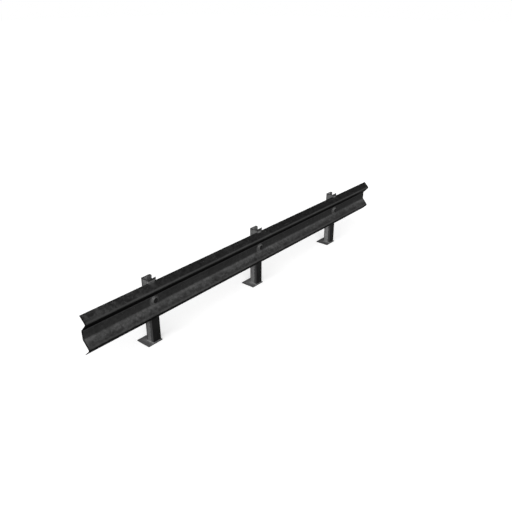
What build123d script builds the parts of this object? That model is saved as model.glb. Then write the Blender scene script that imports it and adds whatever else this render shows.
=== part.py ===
from build123d import *
import os
from math import atan2, tan

# Highway guardrail section: one W-beam rail on three posts with base plates.
# X runs along the rail, Y points away from the traffic and Z is up. The origin is on the
# underside of the middle base plate, below the bolt and in the middle of the post's depth.

os.makedirs("parts", exist_ok=True)

# ---- driving dimensions, in millimetres ----
bay_length = 1240.0  # from post to post; the rail runs half a bay past the end posts
end_lap = 4.0  # and this much more at each end
post_sides = ["left", "middle", "right"]

ground_clearance = 224.0  # from the ground to the rail's bottom edge
rail_height = 312.0
rail_sheet = 4.0
crest_bend = 14.0  # radius of the crests' bends, on the traffic face
valley_bend = 8.0  # the same beside the valley
crest_depth = 61.0  # from the valley to the corner of a crest, before it is rounded
crest_inset = 53.0  # from the rail's edge to the corner of a crest
valley_height = 70.0
edge_lead = 5.5  # how far the rail's two edges stand in front of the valley

post_sheet = 5.0
post_bend = 6.0  # outer radius of the bends
post_depth = 74.0
post_width = 84.0
front_lip = 9.0  # length of the short lip at the open side, behind the rail
back_lip = 23.0  # length of the lip at the open side, away from the rail
post_offset = 1.8  # how far the post's middle stands to the left of its bolt
post_rise = 21.0  # how far the post stands above the rail
step_depth = 5.0  # the front strip of the side wall is set in by this much
step_start = 22.0  # from the post's front face to where the side wall steps out
step_run = 8.0  # length of the slope between the two levels
step_bend = 7.0

plate_size = 139.0
plate_thickness = 8.0
plate_front_margin = 6.0
plate_right_margin = 5.0
weld_leg = 4.0

bolt_radius = 8.0
bolt_clearance = 1.0  # radial, in every hole that the bolt passes through
head_radius = 18.0
head_rim = 2.5
head_height = 7.0
thread_end = 6.0  # how far the bolt stands out of its nut
thread_chamfer = 1.5
thread_clearance = 0.3  # radial, in the nut

cup_clearance = 0.5  # between the cup's rim and the bends beside the valley
cup_taper = 11.0  # the cup's top is smaller in radius than its rim by this much
cup_height = 21.0
cup_rim = 3.0
cup_sheet = 4.0

washer_radius = 17.0
washer_thickness = 3.0
nut_across_flats = 24.0
nut_thickness = 14.0

# ---- places worked out from them ----
rail_length = bay_length * len(post_sides) + 2 * end_lap
post_places = [bay_length * (i - (len(post_sides) - 1) / 2) for i in range(len(post_sides))]

rail_bottom = ground_clearance
rail_top = rail_bottom + rail_height
rail_middle = rail_bottom + rail_height / 2
post_top = rail_top + post_rise

post_front = -post_depth / 2
post_back = post_depth / 2
post_right = post_width / 2 - post_offset
post_left = -post_width / 2 - post_offset

valley_face = post_front - rail_sheet
edge_face = valley_face - edge_lead
crest_face = valley_face - crest_depth
edge_slope = (crest_depth - edge_lead) / crest_inset
trim_face = edge_face + rail_sheet * edge_slope  # the legs start longer, to be cut off level

crest_rise = rail_height / 2 - valley_height / 2 - crest_inset
valley_turn = atan2(crest_depth, crest_rise)
valley_flat = valley_height - 2 * valley_bend * tan(valley_turn / 2)

cup_radius = valley_flat / 2 - cup_clearance
cup_top_radius = cup_radius - cup_taper
cup_top = valley_face - cup_height
flange_back = post_front + post_sheet
washer_back = flange_back + washer_thickness
nut_back = washer_back + nut_thickness
bolt_length = nut_back + thread_end - cup_top
hole_radius = bolt_radius + bolt_clearance


def bolt_plane(place, y):
    """A plane across one post's bolt, facing away from the traffic."""
    return Plane(origin=(place, y, rail_middle), x_dir=(1, 0, 0), z_dir=(0, 1, 0))


def bolt_section(place, y):
    """A level plane through one post's bolt, for profiles that turn about the bolt."""
    return Plane(origin=(place, y, rail_middle), x_dir=(1, 0, 0), z_dir=(0, 0, 1))


def channel_line():
    """The outside of the post's section, from the front lip round to the back lip."""
    corners = [
        (post_right, post_front + front_lip),
        (post_right, post_front),
        (post_left + step_depth, post_front),
        (post_left + step_depth, post_front + step_start),
        (post_left, post_front + step_start + step_run),
        (post_left, post_back),
        (post_right, post_back),
        (post_right, post_back - back_lip),
    ]
    bends = [post_bend, post_bend, step_bend, step_bend, post_bend, post_bend]
    return FilletPolyline(*corners, radius=bends)


# ---- the rail ----
with BuildPart() as rail_beam:
    with BuildSketch(Plane.YZ):
        with BuildLine():
            FilletPolyline(
                (trim_face, rail_top + rail_sheet),
                (crest_face, rail_top - crest_inset),
                (valley_face, rail_middle + valley_height / 2),
                (valley_face, rail_middle - valley_height / 2),
                (crest_face, rail_bottom + crest_inset),
                (trim_face, rail_bottom - rail_sheet),
                radius=[crest_bend, valley_bend, valley_bend, crest_bend],
            )
            offset(amount=rail_sheet, side=Side.LEFT)
        make_face()
        with Locations((valley_face, rail_middle)):
            Rectangle(2 * crest_depth, rail_height, mode=Mode.INTERSECT)
    extrude(amount=rail_length / 2, both=True)
    with BuildSketch(Plane.XZ.offset(-post_front)):
        with Locations(*[(place, rail_middle) for place in post_places]):
            Circle(hole_radius)
    extrude(amount=crest_depth, both=True, mode=Mode.SUBTRACT)
rail_beam.part.label = "rail_beam"
export_step(rail_beam.part, "parts/rail_beam.step")

# ---- what repeats at every post ----
for side, place in zip(post_sides, post_places):
    with BuildPart() as base_plate:
        plate_x = place + post_right + plate_right_margin - plate_size / 2
        plate_y = post_front - plate_front_margin + plate_size / 2
        with BuildSketch(Plane(origin=(plate_x, plate_y, 0))):
            Rectangle(plate_size, plate_size)
        extrude(amount=plate_thickness)
    base_plate.part.label = f"base_plate_{side}"
    export_step(base_plate.part, f"parts/base_plate_{side}.step")

    foot = Plane(origin=(place, 0, plate_thickness))
    with BuildPart() as post:
        with BuildSketch(foot):
            with BuildLine():
                channel_line()
                offset(amount=post_sheet, side=Side.RIGHT)
            make_face()
        extrude(amount=post_top - plate_thickness)
        with BuildSketch(bolt_plane(place, post_front)):
            Circle(hole_radius)
        extrude(amount=post_sheet, mode=Mode.SUBTRACT)
    post.part.label = f"post_{side}"
    export_step(post.part, f"parts/post_{side}.step")

    with BuildPart() as weld:
        with BuildLine(foot) as seam:
            channel_line()
        with BuildSketch(Plane(origin=seam.line @ 0, x_dir=(1, 0, 0), z_dir=seam.line % 0)):
            with BuildLine():
                Polyline((0, 0), (weld_leg, 0), (0, weld_leg), close=True)
            make_face()
        sweep(path=seam.line)
    weld.part.label = f"weld_{side}"
    export_step(weld.part, f"parts/weld_{side}.step")

    with BuildPart() as cup_washer:
        with BuildSketch(bolt_section(place, valley_face)):
            with BuildLine():
                Polyline(
                    (cup_radius, 0),
                    (cup_radius, -cup_rim),
                    (cup_top_radius, -cup_height),
                    (hole_radius, -cup_height),
                    (hole_radius, cup_sheet - cup_height),
                    (cup_top_radius - cup_sheet / 2, cup_sheet - cup_height),
                    (cup_radius - cup_sheet, 0),
                    close=True,
                )
            make_face()
        revolve(axis=Axis((place, valley_face, rail_middle), (0, 1, 0)))
    cup_washer.part.label = f"cup_washer_{side}"
    export_step(cup_washer.part, f"parts/cup_washer_{side}.step")

    with BuildPart() as bolt:
        with BuildSketch(bolt_section(place, cup_top)):
            with BuildLine():
                TangentArc((0, -head_height), (head_radius, -head_rim), tangent=(1, 0))
                Polyline(
                    (head_radius, -head_rim),
                    (head_radius, 0),
                    (bolt_radius, 0),
                    (bolt_radius, bolt_length - thread_chamfer),
                    (bolt_radius - thread_chamfer, bolt_length),
                    (0, bolt_length),
                    (0, -head_height),
                )
            make_face()
        revolve(axis=Axis((place, cup_top, rail_middle), (0, 1, 0)))
    bolt.part.label = f"bolt_{side}"
    export_step(bolt.part, f"parts/bolt_{side}.step")

    with BuildPart() as nut_washer:
        with BuildSketch(bolt_plane(place, flange_back)):
            Circle(washer_radius)
            Circle(hole_radius, mode=Mode.SUBTRACT)
        extrude(amount=washer_thickness)
    nut_washer.part.label = f"nut_washer_{side}"
    export_step(nut_washer.part, f"parts/nut_washer_{side}.step")

    with BuildPart() as nut:
        with BuildSketch(bolt_plane(place, washer_back)):
            RegularPolygon(radius=nut_across_flats / 2, side_count=6, major_radius=False)
            Circle(bolt_radius + thread_clearance, mode=Mode.SUBTRACT)
        extrude(amount=nut_thickness)
    nut.part.label = f"nut_{side}"
    export_step(nut.part, f"parts/nut_{side}.step")
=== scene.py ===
import math

import bmesh
import bpy
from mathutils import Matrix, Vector
from mathutils.noise import noise as cloud_value


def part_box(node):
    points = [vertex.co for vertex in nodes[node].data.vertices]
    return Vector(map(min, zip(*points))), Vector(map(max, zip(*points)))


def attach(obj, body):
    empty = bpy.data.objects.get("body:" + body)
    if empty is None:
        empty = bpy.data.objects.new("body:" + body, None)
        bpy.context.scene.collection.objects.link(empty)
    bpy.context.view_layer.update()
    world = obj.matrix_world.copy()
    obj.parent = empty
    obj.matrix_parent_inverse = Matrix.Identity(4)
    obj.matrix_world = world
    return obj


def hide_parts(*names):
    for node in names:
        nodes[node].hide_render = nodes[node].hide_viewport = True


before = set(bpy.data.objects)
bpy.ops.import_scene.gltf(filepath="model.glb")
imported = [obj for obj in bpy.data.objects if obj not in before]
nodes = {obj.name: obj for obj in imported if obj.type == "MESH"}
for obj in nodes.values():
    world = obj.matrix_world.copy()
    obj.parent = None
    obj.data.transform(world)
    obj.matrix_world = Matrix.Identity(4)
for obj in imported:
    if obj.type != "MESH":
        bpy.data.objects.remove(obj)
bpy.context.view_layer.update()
post_sides = ["left", "middle", "right"]
MM = 0.001

rail_low, rail_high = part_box("rail_beam")
post_low, post_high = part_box("post_middle")
plate_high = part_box("base_plate_middle")[1]
bay_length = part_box("post_right")[0].x - post_low.x

# heights on the rail's section, worked out from its box
crest_inset = 53 * MM
valley_height = 70 * MM
rail_middle = (rail_low.z + rail_high.z) / 2
upper_crest = rail_high.z - crest_inset
lower_crest = rail_low.z + crest_inset
upper_fold = rail_middle + valley_height / 2
lower_fold = rail_middle - valley_height / 2

# the post's section
post_bend = 6 * MM
front_lip = 9 * MM
back_lip = 23 * MM
step_depth = 5 * MM
step_start = 22 * MM
step_run = 8 * MM
step_bend = 7 * MM

# the bolt and what it passes through
shank_radius = 8 * MM
hole_radius = 9 * MM


# ---- shader node helpers ----
def put(tree, kind, values=None, **settings):
    """A shader node with its settings and its unlinked input values."""
    node = tree.nodes.new(kind)
    for key, value in settings.items():
        setattr(node, key, value)
    for key, value in (values or {}).items():
        node.inputs[key].default_value = value
    return node


def join(tree, source, target):
    """Links a socket to a socket, or sets a plain value."""
    if isinstance(source, tuple):
        target.default_value = source[: len(target.default_value)]
    elif isinstance(source, (int, float)):
        target.default_value = source
    else:
        tree.links.new(source, target)


def math_node(tree, operation, *terms):
    """The result of an operation on masks, lengths or plain numbers."""
    node = put(tree, "ShaderNodeMath", operation=operation)
    for term, socket in zip(terms, node.inputs):
        join(tree, term, socket)
    return node.outputs[0]


def vector_node(tree, operation, first, second):
    """The result of an operation on two vectors; a number for a dot product."""
    node = put(tree, "ShaderNodeVectorMath", operation=operation)
    join(tree, first, node.inputs[0])
    join(tree, second, node.inputs[1])
    return node.outputs["Value" if operation == "DOT_PRODUCT" else "Vector"]


def split(tree, vector):
    """The three parts of a vector or a colour."""
    node = put(tree, "ShaderNodeSeparateXYZ")
    join(tree, vector, node.inputs[0])
    return node.outputs


def gather(tree, *parts):
    """A vector made of three parts."""
    node = put(tree, "ShaderNodeCombineXYZ")
    for part, socket in zip(parts, node.inputs):
        join(tree, part, socket)
    return node.outputs[0]


def ramp(tree, value, low, high, to_low=0.0, to_high=1.0):
    """A smooth step from to_low at low to to_high at high."""
    node = put(tree, "ShaderNodeMapRange", interpolation_type="SMOOTHSTEP")
    for name, term in (("Value", value), ("From Min", low), ("From Max", high),
                       ("To Min", to_low), ("To Max", to_high)):
        join(tree, term, node.inputs[name])
    return node.outputs["Result"]


def blend_colour(tree, factor, first, second):
    """The first colour where factor is 0 and the second where it is 1."""
    node = put(tree, "ShaderNodeMix", data_type="RGBA")
    first_colour, second_colour = node.inputs[6], node.inputs[7]
    join(tree, factor, node.inputs[0])
    join(tree, first, first_colour)
    join(tree, second, second_colour)
    mixed_colour = node.outputs[2]
    return mixed_colour


def grey(level):
    """A neutral colour; level is its reflectance."""
    return (level, level, level, 1.0)


def new_group(name, inputs, outputs):
    """A shader node group; returns its tree, its input sockets and its output node."""
    tree = bpy.data.node_groups.new(name, "ShaderNodeTree")
    for label, value in inputs.items():
        socket = tree.interface.new_socket(label, in_out="INPUT", socket_type="NodeSocketFloat")
        socket.default_value = value
    for label in outputs:
        tree.interface.new_socket(label, in_out="OUTPUT", socket_type="NodeSocketFloat")
    return tree, put(tree, "NodeGroupInput").outputs, put(tree, "NodeGroupOutput").inputs


def use_group(tree, group, **values):
    """Places a shader node group with its values."""
    node = put(tree, "ShaderNodeGroup", node_tree=group)
    for label, value in values.items():
        join(tree, value, node.inputs[label])
    return node.outputs


def stretched_place(tree, shift, along, across, up):
    """Object coordinates moved by shift and divided by a length along each axis."""
    place = put(tree, "ShaderNodeTexCoord").outputs["Object"]
    moved = vector_node(tree, "ADD", place, gather(tree, shift, shift, shift))
    return vector_node(tree, "DIVIDE", moved, gather(tree, along, across, up))


def even_place(tree, shift, size):
    """Object coordinates moved by shift and divided by the same length along all axes."""
    return stretched_place(tree, shift, size, size, size)


def noise(tree, place, detail=4.0, roughness=0.55, warp=0.0):
    """A cloudy value between 0 and 1, with features about one unit wide."""
    node = put(tree, "ShaderNodeTexNoise",
               {"Scale": 1.0, "Detail": detail, "Roughness": roughness, "Distortion": warp})
    join(tree, place, node.inputs["Vector"])
    return node.outputs["Fac"]


def cells(tree, place, scale=1.0):
    """Scattered cells: the distance from each one's middle, and its own random colour."""
    node = put(tree, "ShaderNodeTexVoronoi", {"Scale": scale})
    join(tree, place, node.inputs["Vector"])
    return node.outputs


# ---- shared effects ----
def make_blotches():
    """Cloudy patches, such as uneven weathering."""
    tree, given, made = new_group(
        "blotches", {"Shift": 0.0, "Along": 0.1, "Up": 0.1, "Low": 0.35, "High": 0.65}, ["Mask"])
    place = stretched_place(tree, given["Shift"], given["Along"], given["Up"], given["Up"])
    cloud = noise(tree, place, detail=5.0, roughness=0.6, warp=0.4)
    join(tree, ramp(tree, cloud, given["Low"], given["High"]), made["Mask"])
    return tree


def make_grain():
    """Fine speckle of a dull metal skin, with small pits; Height is in metres."""
    tree, given, made = new_group(
        "metal_grain", {"Shift": 0.0, "Size": 0.002, "Depth": 0.0001}, ["Mask", "Height"])
    pit_density = 0.45  # pits are a little over two speckles apart
    place = even_place(tree, given["Shift"], given["Size"])
    speckle = noise(tree, place, detail=3.0, roughness=0.65)
    pits = ramp(tree, cells(tree, place, pit_density)["Distance"], 0.05, 0.3)
    both = math_node(tree, "MULTIPLY", speckle, pits)
    join(tree, ramp(tree, speckle, 0.3, 0.7), made["Mask"])
    join(tree, math_node(tree, "MULTIPLY", both, given["Depth"]), made["Height"])
    return tree


def make_chips():
    """Scattered small chips and grit marks; Height is in metres and goes down."""
    tree, given, made = new_group(
        "grit_chips", {"Shift": 0.0, "Spacing": 0.012, "Share": 0.3, "Depth": 0.0002},
        ["Mask", "Height"])
    smallest, largest = 0.06, 0.2  # a chip's radius, as a share of the spacing
    ragged_size = 1.5 * MM
    raggedness = 0.05
    sharpness = 0.7
    spread = cells(tree, even_place(tree, given["Shift"], given["Spacing"]))
    pick = split(tree, spread["Color"])
    chosen = math_node(tree, "LESS_THAN", pick[0], given["Share"])
    size = ramp(tree, pick[1], 0.0, 1.0, smallest, largest)
    ragged = noise(tree, even_place(tree, given["Shift"], ragged_size), detail=2.0)
    outline = ramp(tree, ragged, 0.3, 0.7, -raggedness, raggedness)
    reach = math_node(tree, "ADD", spread["Distance"], outline)
    spot = ramp(tree, reach, size, math_node(tree, "MULTIPLY", size, sharpness))
    mask = math_node(tree, "MULTIPLY", spot, chosen)
    join(tree, mask, made["Mask"])
    down = math_node(tree, "MULTIPLY", mask, given["Depth"])
    join(tree, math_node(tree, "MULTIPLY", down, -1.0), made["Height"])
    return tree


def make_edge_wear():
    """Broken bright wear where a surface turns a sharp corner."""
    tree, given, made = new_group(
        "edge_wear", {"Radius": 0.003, "Shift": 0.0, "Amount": 0.5}, ["Mask"])
    patch_size = 20 * MM
    untouched, fully_worn = 0.995, 0.9  # how well the rounded and the flat normal agree
    rounded = put(tree, "ShaderNodeBevel", samples=4)
    join(tree, given["Radius"], rounded.inputs["Radius"])
    flat = put(tree, "ShaderNodeNewGeometry").outputs["Normal"]
    agreement = vector_node(tree, "DOT_PRODUCT", rounded.outputs[0], flat)
    corner = ramp(tree, agreement, untouched, fully_worn)
    place = even_place(tree, given["Shift"], patch_size)
    broken = ramp(tree, noise(tree, place, detail=6.0, roughness=0.7), 0.35, 0.65)
    worn = math_node(tree, "MULTIPLY", corner, broken)
    join(tree, math_node(tree, "MULTIPLY", worn, given["Amount"]), made["Mask"])
    return tree


def make_scratches():
    """Sparse long scratches along the rail; Slant leans them off its length."""
    tree, given, made = new_group(
        "scratches", {"Shift": 0.0, "Length": 0.25, "Width": 0.002, "Rarity": 0.68, "Slant": 0.0},
        ["Mask"])
    reach_in_depth = 50 * MM
    softness = 0.06
    zone_length = 300 * MM
    zone_height = 80 * MM
    along, across, up = split(tree, put(tree, "ShaderNodeTexCoord").outputs["Object"])
    lean = math_node(tree, "MULTIPLY", along, given["Slant"])
    leaning = math_node(tree, "ADD", up, lean)
    depth = math_node(tree, "DIVIDE", across, reach_in_depth)
    lined = gather(tree, math_node(tree, "DIVIDE", along, given["Length"]),
                   math_node(tree, "ADD", given["Shift"], depth),
                   math_node(tree, "DIVIDE", leaning, given["Width"]))
    lines = noise(tree, lined, detail=2.0, roughness=0.5)
    edge = math_node(tree, "ADD", given["Rarity"], softness)
    cut = ramp(tree, lines, given["Rarity"], edge)
    zone = stretched_place(tree, given["Shift"], zone_length, zone_height, zone_height)
    where = ramp(tree, noise(tree, zone, detail=2.0), 0.45, 0.6)
    join(tree, math_node(tree, "MULTIPLY", cut, where), made["Mask"])
    return tree


def make_runs():
    """Vertical rain runs."""
    tree, given, made = new_group(
        "rain_runs", {"Shift": 0.0, "Width": 0.012, "Length": 0.18}, ["Mask"])
    place = stretched_place(tree, given["Shift"], given["Width"], given["Width"], given["Length"])
    lines = noise(tree, place, detail=4.0, roughness=0.6)
    join(tree, ramp(tree, lines, 0.48, 0.72), made["Mask"])
    return tree


blotches = make_blotches()
metal_grain = make_grain()
grit_chips = make_chips()
edge_wear = make_edge_wear()
scratches = make_scratches()
rain_runs = make_runs()


class Finish:
    """A material in the making: its tree, its coordinates and its shader."""

    def __init__(self, name, roughness, specular):
        """Starts a material with its shader and the coordinates that its masks use."""
        self.material = bpy.data.materials.new(name)
        self.material.use_nodes = True
        self.tree = self.material.node_tree
        self.tree.nodes.clear()
        self.shader = put(self.tree, "ShaderNodeBsdfPrincipled",
                          {"Roughness": roughness, "Specular IOR Level": specular})
        out = put(self.tree, "ShaderNodeOutputMaterial")
        join(self.tree, self.shader.outputs[0], out.inputs["Surface"])
        place = put(self.tree, "ShaderNodeTexCoord").outputs["Object"]
        self.x, self.y, self.z = split(self.tree, place)
        normal = put(self.tree, "ShaderNodeNewGeometry").outputs["Normal"]
        self.facing_x, self.facing_y, self.facing_z = split(self.tree, normal)
        # the place along the rail, counted from the nearest post's bolt
        self.from_bolt = self.math("WRAP", self.x, bay_length / 2, -bay_length / 2)

    def group(self, group, **values):
        """The outputs of a shared effect with its values for this material."""
        return use_group(self.tree, group, **values)

    def math(self, operation, *terms):
        """The result of an operation in this material's tree."""
        return math_node(self.tree, operation, *terms)

    def ramp(self, *terms):
        """A smooth step between two levels of a value."""
        return ramp(self.tree, *terms)

    def between(self, mask, low, high):
        """A mask brought into the range from low to high."""
        return self.ramp(mask, 0.0, 1.0, low, high)

    def both(self, *masks):
        """The product of several masks."""
        result = masks[0]
        for mask in masks[1:]:
            result = self.math("MULTIPLY", result, mask)
        return result

    def away(self, value, level):
        """How far a value is from a level, either way."""
        return self.math("ABSOLUTE", self.math("SUBTRACT", value, level))

    def near(self, value, level, half_width):
        """1 where a value is level, and 0 half_width away from it."""
        return self.ramp(self.away(value, level), half_width, 0.0)

    def patch(self, x, z, half_length, half_height):
        """A soft oval patch on a face that looks along Y."""
        across = self.math("DIVIDE", self.math("SUBTRACT", self.x, x), half_length)
        up = self.math("DIVIDE", self.math("SUBTRACT", self.z, z), half_height)
        square = self.math("ADD", self.math("POWER", across, 2.0), self.math("POWER", up, 2.0))
        return self.ramp(square, 1.0, 0.1)

    def over(self, colour, mask, layer):
        """Lays a colour over the one below it, where the mask is 1."""
        return blend_colour(self.tree, mask, colour, layer)

    def shade(self, colour, mask, dark, light):
        """Multiplies a colour by dark where the mask is 0 and by light where it is 1."""
        scale = self.between(mask, dark, light)
        node = put(self.tree, "ShaderNodeVectorMath", operation="SCALE")
        join(self.tree, colour, node.inputs[0])
        join(self.tree, scale, node.inputs["Scale"])
        return node.outputs[0]

    def finish(self, colour, roughness, *heights, corner_radius=0.8 * MM):
        """Joins the colour, roughness and relief to the shader; returns the material."""
        join(self.tree, colour, self.shader.inputs["Base Color"])
        join(self.tree, roughness, self.shader.inputs["Roughness"])
        height = heights[0]
        for layer in heights[1:]:
            height = self.math("ADD", height, layer)
        soft = put(self.tree, "ShaderNodeBevel", {"Radius": corner_radius}, samples=4)
        bump = put(self.tree, "ShaderNodeBump", {"Strength": 1.0, "Distance": 1.0})
        join(self.tree, height, bump.inputs["Height"])
        join(self.tree, soft.outputs[0], bump.inputs["Normal"])
        join(self.tree, bump.outputs[0], self.shader.inputs["Normal"])
        return self.material


# ---- the rail's finish ----
def rail_bands(f, above_crest, near_left, large, mottle, runs):
    """Soot above the upper crest, nearly bare steel in the valley, dust below the lower fold."""
    bare_steel = grey(0.0315)
    fold_dust, leg_dust, low_dust = grey(0.081), grey(0.063), grey(0.036)
    thin_soot, left_soot = grey(0.0145), grey(0.02)
    dust = f.group(blotches, Shift=9.0, Along=0.08, Up=0.04, Low=0.35, High=0.65)["Mask"]
    soot = f.group(blotches, Shift=15.0, Along=0.075, Up=0.035, Low=0.35, High=0.65)["Mask"]

    low_leg = f.ramp(f.z, lower_fold - 18 * MM, lower_fold - 44 * MM)
    past_fold = f.ramp(f.z, lower_fold - 10 * MM, lower_fold - 20 * MM)
    dusty = f.over(leg_dust, low_leg, low_dust)
    dusty = f.over(fold_dust, past_fold, dusty)
    dusty = f.shade(dusty, f.ramp(f.x, 0.4, 1.6), 1.0, 0.88)
    left_end = f.ramp(f.x, rail_low.x + 250 * MM, rail_low.x + 80 * MM)
    dusty = f.shade(dusty, left_end, 1.0, 0.82)
    splashed = f.both(f.ramp(f.z, lower_fold - 15 * MM, lower_fold - 30 * MM),
                      f.ramp(f.x, 1.0, 0.0, 0.2, 1.0))
    spots = f.math("MULTIPLY_ADD", f.math("SUBTRACT", mottle, 0.5), splashed, 0.5)
    dusty = f.shade(dusty, spots, 0.8, 1.2)
    dusty = f.shade(dusty, dust, 0.83, 1.19)

    sooty = f.over(thin_soot, near_left, left_soot)
    sooty = f.shade(sooty, soot, 0.84, 1.2)
    sooty = f.shade(sooty, mottle, 0.84, 1.15)
    sooty = f.shade(sooty, f.ramp(f.x, -0.1, 0.5), 1.0, 0.78)

    below_fold = f.ramp(f.z, lower_fold + 7 * MM, lower_fold - 9 * MM)
    colour = f.over(bare_steel, below_fold, dusty)
    colour = f.over(colour, above_crest, sooty)
    colour = f.shade(colour, large, 0.9, 1.1)
    colour = f.shade(colour, mottle, 0.88, 1.13)
    return f.shade(colour, runs, 1.03, 0.88)


def left_end_stains(f, colour, upper_left, mottle):
    """Worn and stained patches above the crest, towards the rail's left end."""
    worn_spot, worn_patch, soot_patch = grey(0.055), grey(0.047), grey(0.012)
    spots = f.group(blotches, Shift=12.0, Along=0.035, Up=0.03, Low=0.52, High=0.62)["Mask"]
    colour = f.over(colour, f.both(upper_left, spots, 0.6), worn_spot)
    high_wear = f.patch(rail_low.x + 128 * MM, rail_high.z - 25 * MM, 40 * MM, 22 * MM)
    low_wear = f.patch(rail_low.x + 70 * MM, rail_high.z - 38 * MM, 85 * MM, 17 * MM)
    wear = f.both(f.math("MAXIMUM", high_wear, low_wear), f.between(mottle, 0.6, 1.0))
    colour = f.over(colour, f.both(wear, 0.75), worn_patch)
    soot = f.patch(rail_low.x + 90 * MM, rail_high.z - 14 * MM, 30 * MM, 9 * MM)
    return f.over(colour, f.both(soot, 0.6), soot_patch)


def rubbed_lines_and_fold_light(f, colour, traffic_side, large, mottle):
    """Lines rubbed along the crests, painted light along the upper fold, and a ring round each cup
    washer.
    """
    upper_rub, lower_rub, fold_painted_light, ring_rub = grey(0.056), grey(0.06), grey(0.065), grey(0.1)
    upper_line = f.both(f.near(f.z, upper_crest + 6 * MM, 9 * MM), f.between(large, 0.65, 1.0))
    colour = f.over(colour, f.both(upper_line, traffic_side), upper_rub)
    lower_line = f.both(f.near(f.z, lower_crest + 12 * MM, 8 * MM), f.between(mottle, 0.5, 0.8))
    colour = f.over(colour, f.both(lower_line, traffic_side), lower_rub)
    # painted light: a lighter line just under the upper fold, against the shade there
    fold_light_line = f.both(f.near(f.z, upper_fold - 3 * MM, 6 * MM), traffic_side)
    colour = f.over(colour, f.both(fold_light_line, 0.85), fold_painted_light)

    ring_middle = rail_middle - 7 * MM
    across = f.math("POWER", f.from_bolt, 2.0)
    up = f.math("POWER", f.math("SUBTRACT", f.z, ring_middle), 2.0)
    radius = f.math("SQRT", f.math("ADD", across, up))
    ring = f.both(f.ramp(radius, 50 * MM, 36 * MM), traffic_side, f.between(mottle, 0.5, 0.9))
    return f.over(colour, ring, ring_rub)


def top_edge_highlight_and_rub(f, colour, mottle):
    """The top edge: a painted highlight where it passes in front of a post, and a rubbed band
    below it at the left post.
    """
    painted_highlight_grey, left_rub = grey(0.17), grey(0.04)
    # painted highlight: the top edge made bright where it passes in front of a post
    on_post = f.both(f.near(f.from_bolt, -15 * MM, 40 * MM), f.between(mottle, 0.85, 1.0))
    edge = f.both(on_post, f.ramp(f.z, rail_high.z - 10 * MM, rail_high.z))
    colour = f.over(colour, edge, painted_highlight_grey)
    below_edge = f.both(f.near(f.from_bolt, -18 * MM, 30 * MM), f.ramp(f.x, -0.9, -1.1),
                        f.ramp(f.z, rail_high.z - 32 * MM, rail_high.z - 16 * MM))
    return f.over(colour, f.both(below_edge, 0.9), left_rub)


def scratch_marks(f):
    """Long scratches along the rail, and shorter ones that rise or fall across it."""
    along = f.group(scratches, Shift=2.0, Length=0.3, Width=0.0022, Rarity=0.66, Slant=0.0)["Mask"]
    rising = f.group(scratches, Shift=5.0, Length=0.06, Width=0.0016, Rarity=0.66,
                     Slant=0.6)["Mask"]
    falling = f.group(scratches, Shift=8.0, Length=0.05, Width=0.0016, Rarity=0.67,
                      Slant=-1.1)["Mask"]
    crossing = f.math("MAXIMUM", rising, falling)
    return f.math("MAXIMUM", f.both(along, 0.55), f.both(crossing, 0.35))


def rail_finish():
    """Dark weathered steel: sooty above, rubbed on the crests, dusty below the lower fold."""
    painted_shade_black, cut_grey, back_grey = grey(0.0008), grey(0.008), grey(0.13)
    scratch_grey, chip_grey, worn_grey = grey(0.09), grey(0.1), grey(0.06)
    wave_depth = 0.5 * MM
    f = Finish("rail_weathered_steel", 0.7, 0.01)
    large = f.group(blotches, Shift=3.0, Along=0.2, Up=0.12, Low=0.32, High=0.68)["Mask"]
    mottle = f.group(blotches, Shift=7.0, Along=0.03, Up=0.024, Low=0.32, High=0.68)["Mask"]
    grain = f.group(metal_grain, Shift=1.0, Size=0.003, Depth=0.00008)
    chips = f.group(grit_chips, Shift=6.0, Spacing=0.022, Share=0.3, Depth=0.0002)
    runs = f.group(rain_runs, Shift=4.0, Width=0.018, Length=0.3)["Mask"]
    wear = f.group(edge_wear, Radius=0.003, Shift=5.0, Amount=0.8)["Mask"]
    waves = f.group(blotches, Shift=14.0, Along=0.06, Up=0.04, Low=0.2, High=0.8)["Mask"]

    traffic_side = f.ramp(f.facing_y, 0.1, -0.1)
    above_crest = f.ramp(f.z, upper_crest + 4 * MM, upper_crest + 14 * MM)
    near_left = f.ramp(f.x, rail_low.x + 900 * MM, rail_low.x + 150 * MM)
    colour = rail_bands(f, above_crest, near_left, large, mottle, runs)
    colour = left_end_stains(f, colour, f.both(near_left, above_crest), mottle)
    colour = rubbed_lines_and_fold_light(f, colour, traffic_side, large, mottle)
    colour = top_edge_highlight_and_rub(f, colour, mottle)

    # painted shade: the undersides of the crests, made near black where they face down and just
    # below the lower crest
    under_lower = f.ramp(f.z, lower_crest + 4.5 * MM, lower_crest + 1.5 * MM)
    underside = f.math("MAXIMUM", f.ramp(f.facing_z, -0.28, -0.43), under_lower)
    colour = f.over(colour, f.both(underside, traffic_side, 0.98), painted_shade_black)

    # the back, which no spray reaches, and the cut ends
    back_steel = f.shade(back_grey, large, 0.75, 1.2)
    back_steel = f.shade(back_steel, mottle, 0.85, 1.15)
    back_steel = f.shade(back_steel, runs, 1.05, 0.75)
    colour = f.over(colour, f.ramp(f.facing_y, 0.05, 0.2), back_steel)
    cut_end = f.ramp(f.math("ABSOLUTE", f.facing_x), 0.6, 0.9)
    left_edge = f.ramp(f.x, rail_low.x + 13 * MM, rail_low.x + 4 * MM)
    colour = f.over(colour, f.both(f.math("MAXIMUM", cut_end, left_edge), 0.9), cut_grey)

    # grain, scratches, chips and worn corners
    colour = f.shade(colour, grain["Mask"], 0.86, 1.14)
    exposed = f.between(f.both(underside, traffic_side), 1.0, 0.25)
    colour = f.over(colour, f.both(scratch_marks(f), exposed), scratch_grey)
    colour = f.over(colour, f.both(chips["Mask"], exposed, 0.5), chip_grey)
    colour = f.over(colour, f.both(wear, 0.45), worn_grey)
    unevenness = f.math("ADD", f.both(large, 0.5), f.both(mottle, 0.5))
    roughness = f.ramp(unevenness, 0.1, 0.9, 0.6, 0.82)
    return f.finish(colour, roughness, grain["Height"], chips["Height"], f.both(waves, wave_depth))


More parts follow.
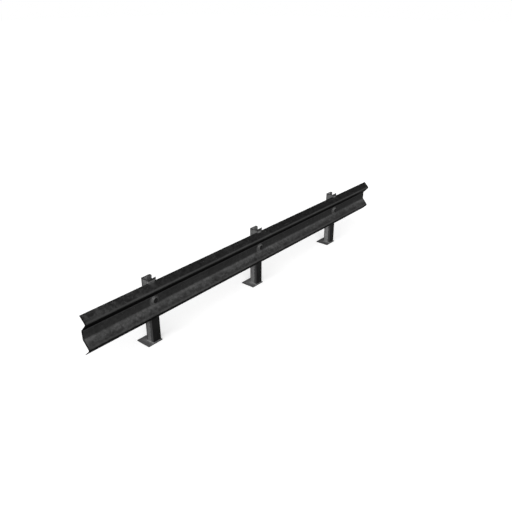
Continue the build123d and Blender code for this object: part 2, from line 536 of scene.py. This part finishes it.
# ---- the posts' and plates' finish ----
def distance_from_post(f):
    """How far a point lies outside the post's box, as seen from above."""
    middle = (post_low.x + post_high.x) / 2
    half_width = (post_high.x - post_low.x) / 2
    aside = f.math("SUBTRACT", f.away(f.from_bolt, middle), half_width)
    ahead = f.math("SUBTRACT", f.math("ABSOLUTE", f.y), post_high.y)
    return f.math("MAXIMUM", aside, ahead)


def light_foot(f, colour, from_post):
    """The foot is lighter, where the weld burnt the dirt off."""
    burnt_grey = grey(0.2)
    foot = f.ramp(f.z, plate_high.z + 22 * MM, plate_high.z + 4 * MM)
    beside_weld = f.both(f.ramp(from_post, 14 * MM, 3 * MM), foot)
    return f.over(colour, f.both(beside_weld, 0.55), burnt_grey)


def front_above_rail(f, colour, front_wall, over_rail):
    """The front wall above the rail: soot, and a painted highlight just over the rail's edge."""
    soot_grey, front_highlight_grey = grey(0.035), grey(0.17)
    colour = f.over(colour, f.both(front_wall, over_rail, 0.9), soot_grey)
    # painted highlight: a bright band on the front wall just over the rail's top edge, brighter at
    # the left post and dimmer at the right
    toward_front = f.ramp(f.y, post_low.y + 14 * MM, post_low.y + 3 * MM)
    by_edge = f.ramp(f.z, rail_high.z + 9 * MM, rail_high.z - 6 * MM)
    front_highlight = f.both(by_edge, over_rail, toward_front)
    front_highlight_steel = f.shade(front_highlight_grey, f.ramp(f.x, -0.4, -0.9), 1.0, 1.9)
    front_highlight_steel = f.shade(front_highlight_steel, f.ramp(f.x, 0.4, 0.9), 1.0, 0.75)
    return f.over(colour, front_highlight, front_highlight_steel)


def lit_back_flange(f, colour, facing_traffic, rightward):
    """Painted light on the inside of the back flange: darker on the whole, but much lighter
    towards the bolt and towards the right.
    """
    inside = f.both(facing_traffic, f.ramp(f.y, 0.0, 10 * MM))
    toward_bolt = f.ramp(f.from_bolt, 0.6 * post_high.x, 0.0)
    # painted light: the inside of the back flange, lighter towards the bolt and towards the right
    # post
    colour = f.shade(colour, inside, 1.0, 0.8)
    colour = f.shade(colour, f.both(inside, toward_bolt), 1.0, 2.1)
    return f.shade(colour, f.both(inside, rightward), 1.0, 1.9)


def stained_rim_and_shaded_bend(f, colour):
    """The post's cut rim, the stains that run down from it, and painted shade on its back bend."""
    rim_grey, stain_grey, painted_shade_grey = grey(0.008), grey(0.03), grey(0.02)
    rim_dirt = f.group(blotches, Shift=19.0, Along=0.009, Up=0.009, Low=0.35, High=0.6)["Mask"]
    rim = f.ramp(f.z, post_high.z - 9 * MM, post_high.z - 3 * MM)
    rim = f.both(rim, f.between(rim_dirt, 0.7, 1.0))
    colour = f.over(colour, rim, rim_grey)
    stained = f.both(f.ramp(f.z, post_high.z - 45 * MM, post_high.z - 15 * MM), rim_dirt)
    colour = f.over(colour, f.both(stained, 0.15), stain_grey)

    # painted shade: a dark line down the back bend, where the rounded corner turns away from the
    # light
    bend_depth = f.ramp(f.x, -1.2, 1.2, 15 * MM, 10 * MM)
    from_back = f.math("SUBTRACT", post_high.y, f.y)
    shaded_back_bend = f.ramp(f.math("SUBTRACT", from_back, bend_depth), 2 * MM, -2 * MM)
    end_post = f.ramp(f.math("ABSOLUTE", f.x), 0.4, 0.8, 0.2, 0.75)
    shaded_back_bend = f.both(shaded_back_bend, f.ramp(f.facing_x, -0.2, -0.5), end_post)
    return f.over(colour, shaded_back_bend, painted_shade_grey)


def road_film_and_shadow(f, colour, small, facing_traffic, shielded):
    """Road film on the front strip of the side wall; road film and a painted shadow of the rail on
    the front wall, darker towards the bottom.
    """
    side_film, low_film_and_shadow, high_film_and_shadow = grey(0.043), grey(0.0035), grey(0.01)
    ragged = f.between(small, -2 * MM, 2 * MM)
    inward = f.math("ADD", f.y, ragged)
    film_edge = post_low.y + step_start + step_run / 4
    film = f.ramp(inward, film_edge + 2 * MM, film_edge - 2 * MM)
    above_plate = f.ramp(f.z, plate_high.z + 1 * MM, plate_high.z + 3 * MM)
    low_down = f.ramp(f.z, rail_high.z - 14 * MM, rail_high.z - 40 * MM, 0.3, 1.0)
    # road film and painted shadow: the front wall under the rail made near black, darkest towards
    # the bottom
    front_film_and_shadow = f.over(low_film_and_shadow, f.ramp(f.z, 80 * MM, 240 * MM), high_film_and_shadow)
    grime_and_shadow = f.over(side_film, facing_traffic, front_film_and_shadow)
    return f.over(colour, f.both(film, low_down, above_plate, shielded, 0.99), grime_and_shadow)


def plate_dirt_and_shade(f, colour, from_post, facing_traffic, right_post):
    """The plate's outer parts and its sides are darker; painted shade makes the side towards the
    front darker still.
    """
    side_grey, front_grey = grey(0.04), grey(0.02)
    on_plate = f.ramp(f.z, plate_high.z + 1 * MM, plate_high.z + 0.5 * MM)
    colour = f.shade(colour, f.both(on_plate, f.ramp(from_post, 8 * MM, 45 * MM)), 1.0, 0.68)
    colour = f.shade(colour, f.both(on_plate, right_post), 1.0, 0.5)
    # dirt and painted shade: the plate's sides darker, the side towards the front darkest
    below_top = f.ramp(f.z, plate_high.z + 0.5 * MM, plate_high.z - 0.5 * MM)
    plate_side = f.both(below_top, f.ramp(f.facing_z, 0.7, 0.3))
    side_dirt_and_shade = f.over(side_grey, facing_traffic, front_grey)
    return f.over(colour, f.both(plate_side, 0.8), side_dirt_and_shade)


def post_finish(name, level):
    """Dull grey steel with road film on the side that faces the traffic, and painted light and
    shade in places.
    """
    chip_grey, worn_grey = grey(0.03), grey(0.14)
    f = Finish(name, 0.65, 0.05)
    large = f.group(blotches, Shift=11.0, Along=0.06, Up=0.08, Low=0.32, High=0.68)["Mask"]
    small = f.group(blotches, Shift=17.0, Along=0.012, Up=0.016, Low=0.3, High=0.7)["Mask"]
    grain = f.group(metal_grain, Shift=1.3, Size=0.0018, Depth=0.00007)
    chips = f.group(grit_chips, Shift=3.0, Spacing=0.014, Share=0.35, Depth=0.00015)
    runs = f.group(rain_runs, Shift=4.0, Width=0.008, Length=0.2)["Mask"]
    wear = f.group(edge_wear, Radius=0.003, Shift=5.0, Amount=0.8)["Mask"]

    rightward = f.ramp(f.x, -1.3, 1.3)
    right_post = f.ramp(f.x, 0.4, 1.1)
    facing_traffic = f.ramp(f.facing_y, -0.4, -0.9)
    front_wall = f.both(f.ramp(f.y, post_low.y + 4 * MM, post_low.y + 1 * MM), facing_traffic)
    over_rail = f.ramp(f.z, rail_high.z - 12 * MM, rail_high.z - 8 * MM)
    shielded = f.math("SUBTRACT", 1.0, f.both(front_wall, over_rail))
    low_post = f.ramp(f.z, rail_high.z, rail_middle)
    painted_light_under_rail = f.ramp(f.z, rail_low.z - 40 * MM, rail_low.z)
    from_post = distance_from_post(f)

    colour = f.shade(grey(level), large, 0.86, 1.14)
    colour = f.shade(colour, small, 0.85, 1.15)
    colour = f.shade(colour, runs, 1.05, 0.82)
    colour = f.shade(colour, f.both(low_post, rightward), 1.0, 1.22)
    colour = f.shade(colour, low_post, 0.87, 1.0)
    colour = f.shade(colour, f.both(low_post, right_post), 1.0, 1.2)
    # painted light: the post lighter just under the rail, against the rail's shade
    colour = f.shade(colour, painted_light_under_rail, 1.0, 1.18)
    colour = light_foot(f, colour, from_post)
    colour = front_above_rail(f, colour, front_wall, over_rail)
    colour = lit_back_flange(f, colour, facing_traffic, rightward)
    colour = stained_rim_and_shaded_bend(f, colour)
    colour = road_film_and_shadow(f, colour, small, facing_traffic, shielded)
    colour = plate_dirt_and_shade(f, colour, from_post, facing_traffic, right_post)

    colour = f.shade(colour, grain["Mask"], 0.86, 1.14)
    colour = f.over(colour, f.both(chips["Mask"], 0.45), chip_grey)
    colour = f.over(colour, f.both(wear, 0.5), worn_grey)
    roughness = f.between(large, 0.55, 0.75)
    return f.finish(colour, roughness, grain["Height"], chips["Height"])


# ---- the other finishes ----
def weld_finish():
    """Bright ripples with darker dirt in between."""
    f = Finish("weld_metal", 0.5, 0.08)
    small = f.group(blotches, Shift=23.0, Along=0.008, Up=0.008, Low=0.3, High=0.7)["Mask"]
    grain = f.group(metal_grain, Shift=1.7, Size=0.0012, Depth=0.00005)
    bright_grey = grey(0.17)
    colour = f.shade(bright_grey, small, 0.65, 1.3)
    colour = f.shade(colour, f.ramp(f.facing_y, -0.2, -0.6), 1.0, 0.55)
    colour = f.shade(colour, grain["Mask"], 0.8, 1.2)
    return f.finish(colour, f.between(small, 0.4, 0.65), grain["Height"],
                    corner_radius=0.3 * MM)


def fastener_finish(name, level, painted_light_above=1.0, painted_light_below=1.0, front=None):
    """Dull zinc, with painted light on faces turned up and down; front is the grey of painted
    shade on the front face.
    """
    chip_share, wear_gain = 0.4, 2.2
    f = Finish(name, 0.5, 0.06)
    small = f.group(blotches, Shift=31.0, Along=0.014, Up=0.014, Low=0.3, High=0.7)["Mask"]
    grain = f.group(metal_grain, Shift=2.1, Size=0.0012, Depth=0.00005)
    chips = f.group(grit_chips, Shift=13.0, Spacing=0.008, Share=0.3, Depth=0.0001)
    wear = f.group(edge_wear, Radius=0.0015, Shift=6.0, Amount=0.9)["Mask"]
    colour = f.shade(grey(level), small, 0.75, 1.25)
    # painted light: faces turned up and faces turned down made lighter
    colour = f.shade(colour, f.ramp(f.facing_z, 0.1, 0.8), 1.0, painted_light_above)
    colour = f.shade(colour, f.ramp(f.facing_z, -0.2, -0.8), 1.0, painted_light_below)
    # painted shade: faces towards the front take the dark front grey
    if front is not None:
        colour = f.over(colour, f.ramp(f.facing_y, -0.6, -0.85), grey(front))
    colour = f.shade(colour, grain["Mask"], 0.82, 1.18)
    colour = f.over(colour, f.both(chips["Mask"], 0.5), grey(level * chip_share))
    colour = f.over(colour, f.both(wear, 0.7), grey(min(1.0, level * wear_gain)))
    return f.finish(colour, f.between(small, 0.4, 0.7), grain["Height"], chips["Height"],
                    corner_radius=0.4 * MM)


rail_steel = rail_finish()
post_steel = post_finish("post_weathered_steel", 0.12)
plate_steel = post_finish("plate_weathered_steel", 0.115)
weld_metal = weld_finish()
bolt_steel = fastener_finish("bolt_dark_steel", 0.006)
cup_steel = fastener_finish("cup_dull_zinc", 0.08, painted_light_above=1.7, painted_light_below=1.5, front=0.012)
nut_steel = fastener_finish("nut_dull_zinc", 0.1)


# ---- pieces finer than the frame's solids ----
def rounded_line(corners, radii, steps=5, closed=False):
    """Points of a flat line whose corners are rounded by arcs; a radius of 0 keeps a corner."""
    corners = [Vector(corner) for corner in corners]
    points = []
    for i, (corner, radius) in enumerate(zip(corners, radii)):
        at_end = not closed and i in (0, len(corners) - 1)
        if at_end or radius == 0:
            points.append(corner)
            continue
        before = (corners[i - 1] - corner).normalized()
        after = (corners[(i + 1) % len(corners)] - corner).normalized()
        half_turn = before.angle(after) / 2
        reach = radius / math.tan(half_turn)
        centre = corner + (before + after).normalized() * radius / math.sin(half_turn)
        start = corner + before * reach - centre
        end = corner + after * reach - centre
        points += [centre + start.slerp(end, k / steps) * radius for k in range(steps + 1)]
    return points


def add_piece(name, work, material, node_name):
    """Turns a bmesh into a shown piece that stands for a solid of the frame."""
    merge_distance = 0.001 * MM
    sharp_angle = math.radians(38)
    bmesh.ops.remove_doubles(work, verts=work.verts[:], dist=merge_distance)
    bmesh.ops.recalc_face_normals(work, faces=work.faces[:])
    mesh = bpy.data.meshes.new(name)
    work.to_mesh(mesh)
    work.free()
    mesh.shade_smooth()
    mesh.set_sharp_from_angle(angle=sharp_angle)
    mesh.materials.append(material)
    piece = bpy.data.objects.new(name, mesh)
    bpy.context.scene.collection.objects.link(piece)
    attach(piece, "root")
    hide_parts(node_name)


def join_loops(work, loops):
    """Faces between neighbouring closed loops of points."""
    for loop, after in loops:
        for j in range(len(loop)):
            work.faces.new((loop[j - 1], loop[j], after[j], after[j - 1]))


def turned(profile, side, closed, steps=64):
    """A profile of (radius, place along Y) turned about one post's bolt."""
    low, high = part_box(f"bolt_{side}")
    centre = Vector(((low.x + high.x) / 2, 0, (low.z + high.z) / 2))
    work = bmesh.new()
    line = [work.verts.new(centre + Vector((radius, y, 0))) for radius, y in profile]
    pairs = list(zip(line, line[1:]))
    if closed:
        pairs.append((line[-1], line[0]))
    edges = [work.edges.new(pair) for pair in pairs]
    bmesh.ops.spin(work, geom=line + edges, cent=centre, axis=(0, 1, 0), angle=math.tau,
                   steps=steps, use_merge=True)
    return work


def cut_thread(work, low, high, thread_start, pitch):
    """Cuts a thread into a turned bolt's shank, from thread_start to its end."""
    thread_depth = 1.1 * MM
    end_chamfer = 1.5 * MM
    axis_x = (low.x + high.x) / 2
    axis_z = (low.z + high.z) / 2
    for vertex in work.verts:
        across = Vector((vertex.co.x - axis_x, vertex.co.z - axis_z))
        if vertex.co.y < thread_start or across.length < shank_radius / 2:
            continue
        turn = math.atan2(across.y, across.x) / math.tau
        phase = (vertex.co.y / pitch - turn) % 1.0
        start = min(1.0, (vertex.co.y - thread_start) / pitch)
        cut = thread_depth * start * (1 - abs(2 * phase - 1))
        cut += max(0.0, vertex.co.y - (high.y - end_chamfer)) * (1 - cut / thread_depth)
        across *= (shank_radius - cut) / across.length
        vertex.co.x = axis_x + across.x
        vertex.co.z = axis_z + across.y


def make_bolt(side):
    """Button-head bolt; the thread shows between the nut and the end."""
    low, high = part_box(f"bolt_{side}")
    cup_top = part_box(f"cup_washer_{side}")[0].y
    nut_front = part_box(f"nut_{side}")[0].y
    head_radius = (high.x - low.x) / 2
    head_rim = 2.5 * MM
    rim_edge = 0.8 * MM
    crown_steps = 8
    crown_power = 2.4  # above 2, so that the crown is flatter in the middle than a dome
    under_edge_height = 0.3 * MM
    under_edge_width = 0.4 * MM
    pitch = 2 * MM
    thread_lead = 6 * MM  # length of the thread in front of the nut
    rings_per_turn = 8

    crown = cup_top - head_rim - low.y
    profile = []
    for k in range(crown_steps + 1):
        share = k / crown_steps
        profile.append((share * (head_radius - rim_edge), low.y + crown * share ** crown_power))
    profile += [(head_radius, cup_top - head_rim + rim_edge),
                (head_radius, cup_top - under_edge_height),
                (head_radius - under_edge_width, cup_top), (shank_radius, cup_top)]
    thread_start = nut_front - thread_lead
    rings = rings_per_turn * round((high.y - thread_start) / pitch)
    for k in range(rings + 1):
        profile.append((shank_radius, thread_start + (high.y - thread_start) * k / rings))
    profile.append((0, high.y))
    work = turned(profile, side, closed=False)
    cut_thread(work, low, high, thread_start, pitch)
    add_piece(f"threaded_bolt_{side}", work, bolt_steel, f"bolt_{side}")


def make_cup(side):
    """Pressed cup washer: a rolled rim, a bulged flank and a round shoulder."""
    low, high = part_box(f"cup_washer_{side}")
    taper = 11 * MM
    sheet = 4 * MM
    rim = 3 * MM
    bulge = 2.5 * MM
    radius = (high.x - low.x) / 2
    top_radius = radius - taper
    flank_radius = (radius + top_radius) / 2 + bulge
    corners = [  # radius, place along Y, rounding
        (radius, high.y, 0.8 * MM),
        (radius, high.y - rim, 1.2 * MM),
        (flank_radius, (high.y + low.y) / 2, 14 * MM),
        (top_radius, low.y, 3 * MM),
        (hole_radius, low.y, 0.8 * MM),
        (hole_radius, low.y + sheet, 0.5 * MM),
        (top_radius - sheet / 2, low.y + sheet, 3 * MM),
        (radius - sheet, high.y, 1 * MM),
    ]
    profile = rounded_line([corner[:2] for corner in corners],
                           [corner[2] for corner in corners], closed=True)
    work = turned(profile, side, closed=True, steps=72)
    add_piece(f"pressed_cup_{side}", work, cup_steel, f"cup_washer_{side}")


def make_nut_washer(side):
    """Stamped flat washer: rounder edges on its front than on its back."""
    low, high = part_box(f"nut_washer_{side}")
    radius = (high.x - low.x) / 2
    front_edge = 0.9 * MM
    back_edge = 0.5 * MM
    profile = rounded_line(
        [(radius, low.y), (radius, high.y), (hole_radius, high.y), (hole_radius, low.y)],
        [front_edge, back_edge, back_edge, front_edge], steps=3, closed=True)
    work = turned(profile, side, closed=True)
    add_piece(f"flat_washer_{side}", work, nut_steel, f"nut_washer_{side}")


def make_nut(side):
    """Hexagon nut with both faces chamfered and a countersunk bore."""
    low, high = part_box(f"nut_{side}")
    centre = (low + high) / 2
    half_flats = (high.z - low.z) / 2
    bore = 8.2 * MM
    sink = 1 * MM
    face_radius = half_flats - 0.3 * MM
    chamfer_slope = math.tan(math.radians(30))
    side_turn = math.pi / 3
    steps = 96
    work = bmesh.new()
    columns = []
    for k in range(steps):
        angle = math.tau * k / steps
        from_flat = (angle % side_turn) - side_turn / 2
        hexagon = half_flats / math.cos(from_flat)
        drop = max(0.0, hexagon - face_radius) * chamfer_slope
        column = [(bore, low.y + sink), (bore + sink, low.y), (face_radius, low.y),
                  (hexagon, low.y + drop), (hexagon, high.y - drop), (face_radius, high.y),
                  (bore + sink, high.y), (bore, high.y - sink)]
        columns.append([work.verts.new((centre.x + radius * math.cos(angle), y,
                                        centre.z + radius * math.sin(angle)))
                        for radius, y in column])
    join_loops(work, zip(columns, columns[1:] + columns[:1]))
    add_piece(f"hexagon_nut_{side}", work, nut_steel, f"nut_{side}")


def foot_line():
    """The outside of a post's section about its bolt, from its front lip to its back lip."""
    left, right = post_low.x, post_high.x
    front, back = post_low.y, post_high.y
    corners = [(right, front + front_lip), (right, front), (left + step_depth, front),
               (left + step_depth, front + step_start), (left, front + step_start + step_run),
               (left, back), (right, back), (right, back - back_lip)]
    radii = [0, post_bend, post_bend, step_bend, step_bend, post_bend, post_bend, 0]
    return rounded_line(corners, radii, steps=10)


def evenly(points, spacing):
    """Places and directions at even steps along a line."""
    result = []
    left_over = 0.0
    for start, end in zip(points, points[1:]):
        length = (end - start).length
        along = (end - start).normalized()
        reached = left_over
        while reached < length:
            result.append((start + along * reached, along))
            reached += spacing
        left_over = reached - length
    return result


def make_weld(side, seed):
    """A hand-laid bead of overlapping ripples round a post's foot."""
    place_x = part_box(f"post_{side}")[0].x - post_low.x
    floor_z = plate_high.z
    leg = 4.2 * MM
    spacing = 0.45 * MM
    across_steps = 9
    end_length, end_start, end_size = 4 * MM, 1 * MM, 0.55  # the bead thins at its two ends
    swell, swell_length = 0.1, 11 * MM
    ripple, ripple_middle, pitch = 0.32 * MM, 0.6, 2.6 * MM
    drag = 1.5 * MM  # a ripple trails behind in the middle of the bead
    wander, wander_length = 0.35, 7 * MM
    fullness = 0.16
    stations = evenly(foot_line(), spacing)
    work = bmesh.new()
    loops = []
    for k, (point, along) in enumerate(stations):
        travelled = spacing * k
        still_to_go = spacing * (len(stations) - 1 - k)
        ending = min(1.0, (min(travelled, still_to_go) + end_start) / end_length)
        size = leg * (end_size + (1 - end_size) * ending)
        size *= 1 + swell * cloud_value((travelled / swell_length, seed, 0.0))
        outward = Vector((-along.y, along.x))
        loop = [work.verts.new((place_x + point.x, point.y, floor_z))]
        for j in range(across_steps):
            share = j / (across_steps - 1)
            bulge = math.sin(math.pi * share)
            phase = (travelled - drag * bulge) / pitch
            phase += wander * cloud_value((travelled / wander_length, seed, 3.0))
            wave = abs(math.sin(math.pi * phase)) - ripple_middle
            lift = (fullness * size + ripple * wave) * bulge
            away = size * share + lift
            height = size * (1 - share) + lift
            loop.append(work.verts.new((place_x + point.x + outward.x * away,
                                        point.y + outward.y * away, floor_z + height)))
        loops.append(loop)
    join_loops(work, zip(loops, loops[1:]))
    work.faces.new(loops[0])
    work.faces.new(loops[-1])
    add_piece(f"rippled_weld_{side}", work, weld_metal, f"weld_{side}")


def make_rail():
    """The rail with the slight unevenness of a used length, which fades out at the posts."""
    held, freed = 60 * MM, 150 * MM  # held by a post so far, and free after so much more
    push, push_length, push_height = 1.2 * MM, 0.45, 0.12
    still_depth = 30 * MM
    edge_wave, edge_wave_length, edge_zone = 0.7 * MM, 0.3, 0.3
    upper_row, lower_row = 5.0, 9.0  # where the two edges' waves are read from the clouds
    stations = 93
    merge_distance = 0.01 * MM
    work = bmesh.new()
    work.from_mesh(nodes["rail_beam"].data)
    bmesh.ops.remove_doubles(work, verts=work.verts[:], dist=merge_distance)
    span = rail_high.x - rail_low.x
    for k in range(1, stations):
        cut_place = (rail_low.x + span * k / stations, 0, 0)
        bmesh.ops.bisect_plane(work, geom=work.verts[:] + work.edges[:] + work.faces[:],
                               dist=merge_distance, plane_co=cut_place, plane_no=(1, 0, 0))
    half_height = rail_high.z - rail_middle
    for vertex in work.verts:
        x, y, z = vertex.co
        to_post = min(abs(x - bay_length * i) for i in (-1, 0, 1))
        free = min(1.0, max(0.0, (to_post - held) / freed))
        forward = min(1.0, max(0.0, (rail_high.y - y) / still_depth))
        bump = 0.5 + 0.5 * cloud_value((x / push_length, z / push_height, 2.0))
        vertex.co.y += push * bump * free * forward
        edge_share = max(0.0, abs(z - rail_middle) / half_height - (1 - edge_zone)) / edge_zone
        row = upper_row if z > rail_middle else lower_row
        wave = cloud_value((x / edge_wave_length, row, 0.0))
        vertex.co.z += edge_wave * wave * edge_share * free
    add_piece("used_rail", work, rail_steel, "rail_beam")


def dress(node_name, material, edge_radius):
    """Gives a solid of the frame its finish and broken edges."""
    merge_distance = 0.01 * MM
    sharp_angle = math.radians(50)
    solid = nodes[node_name]
    solid.data.materials.clear()
    solid.data.materials.append(material)
    solid.modifiers.new("joined_faces", "WELD").merge_threshold = merge_distance
    soft = solid.modifiers.new("broken_edges", "BEVEL")
    soft.width = edge_radius
    soft.segments = 2
    soft.limit_method = "ANGLE"
    soft.angle_limit = sharp_angle


make_rail()
for seed, side in enumerate(post_sides):
    dress(f"post_{side}", post_steel, 0.6 * MM)
    dress(f"base_plate_{side}", plate_steel, 0.9 * MM)
    make_weld(side, seed * 10.0)
    make_bolt(side)
    make_cup(side)
    make_nut_washer(side)
    make_nut(side)


# ---- stage and light ----
def shown_directly(tree):
    """1 for what is seen, straight or in a shine, and 0 for the light thrown on the steel."""
    rays = put(tree, "ShaderNodeLightPath").outputs
    shown = math_node(tree, "MAXIMUM", rays["Is Camera Ray"], rays["Is Glossy Ray"])
    return math_node(tree, "MAXIMUM", shown, rays["Is Transmission Ray"])


def show_or_throw(tree, thrown, shown, out_kind):
    """Joins one shader for the light that is thrown and one for what is seen to the output."""
    mix = put(tree, "ShaderNodeMixShader")
    join(tree, shown_directly(tree), mix.inputs[0])
    join(tree, thrown.outputs[0], mix.inputs[1])
    join(tree, shown.outputs[0], mix.inputs[2])
    join(tree, mix.outputs[0], put(tree, out_kind).inputs["Surface"])


def floor_finish():
    """A floor that looks white but throws little light up."""
    pale_grey, glow_strength, thrown_grey = grey(0.8), 0.4, grey(0.06)
    material = bpy.data.materials.new("floor")
    material.use_nodes = True
    tree = material.node_tree
    tree.nodes.clear()
    pale = put(tree, "ShaderNodeBsdfDiffuse", {"Color": pale_grey})
    glow = put(tree, "ShaderNodeEmission", {"Color": grey(1.0), "Strength": glow_strength})
    bright = put(tree, "ShaderNodeAddShader")
    join(tree, pale.outputs[0], bright.inputs[0])
    join(tree, glow.outputs[0], bright.inputs[1])
    dull = put(tree, "ShaderNodeBsdfDiffuse", {"Color": thrown_grey})
    show_or_throw(tree, dull, bright, "ShaderNodeOutputMaterial")
    return material


floor_reach = 60.0
floor_drop = 0.5 * MM  # so that the floor doesn't flicker with the plates' undersides
corners = [(-floor_reach, -floor_reach, 0), (floor_reach, -floor_reach, 0),
           (floor_reach, floor_reach, 0), (-floor_reach, floor_reach, 0)]
floor_mesh = bpy.data.meshes.new("floor")
floor_mesh.from_pydata(corners, [], [(0, 1, 2, 3)])
floor_mesh.materials.append(floor_finish())
floor = bpy.data.objects.new("floor", floor_mesh)
floor.location.z = -floor_drop
bpy.context.scene.collection.objects.link(floor)


def sun(name, towards_lamp, strength, softness):
    """A soft lamp far away."""
    data = bpy.data.lights.new(name, "SUN")
    data.energy = strength
    data.angle = math.radians(softness)
    lamp = bpy.data.objects.new(name, data)
    lamp.rotation_mode = "QUATERNION"
    lamp.rotation_quaternion = Vector(towards_lamp).to_track_quat("Z", "Y")
    bpy.context.scene.collection.objects.link(lamp)


sun("key_lamp", (-0.75, -0.45, 0.48), strength=1.3 * math.pi, softness=80)

thrown_strength = 0.3
world = bpy.data.worlds.new("world")
bpy.context.scene.world = world
world.use_nodes = True
world.node_tree.nodes.clear()
white = put(world.node_tree, "ShaderNodeBackground", {"Color": grey(1.0), "Strength": 1.0})
dim = put(world.node_tree, "ShaderNodeBackground",
          {"Color": grey(1.0), "Strength": thrown_strength})
show_or_throw(world.node_tree, dim, white, "ShaderNodeOutputWorld")

bpy.context.scene.view_settings.view_transform = "Standard"

# ---- camera ----
aim = Vector((-1.1743, -0.9818, 1.0072))  # a point straight ahead of the camera
camera_distance = 3.3
camera_azimuth = math.radians(-50.07)
camera_elevation = math.radians(25.51)

camera_data = bpy.data.cameras.new("camera")
camera_data.sensor_width = 36.0
camera_data.lens = 38.17
camera_data.clip_end = 200.0
camera = bpy.data.objects.new("camera", camera_data)
bpy.context.scene.collection.objects.link(camera)
level = math.cos(camera_elevation)
back = Vector((math.sin(camera_azimuth) * level, -math.cos(camera_azimuth) * level,
               math.sin(camera_elevation)))
camera.location = aim + back * camera_distance
camera.rotation_mode = "QUATERNION"
camera.rotation_quaternion = back.to_track_quat("Z", "Y")
bpy.context.scene.camera = camera
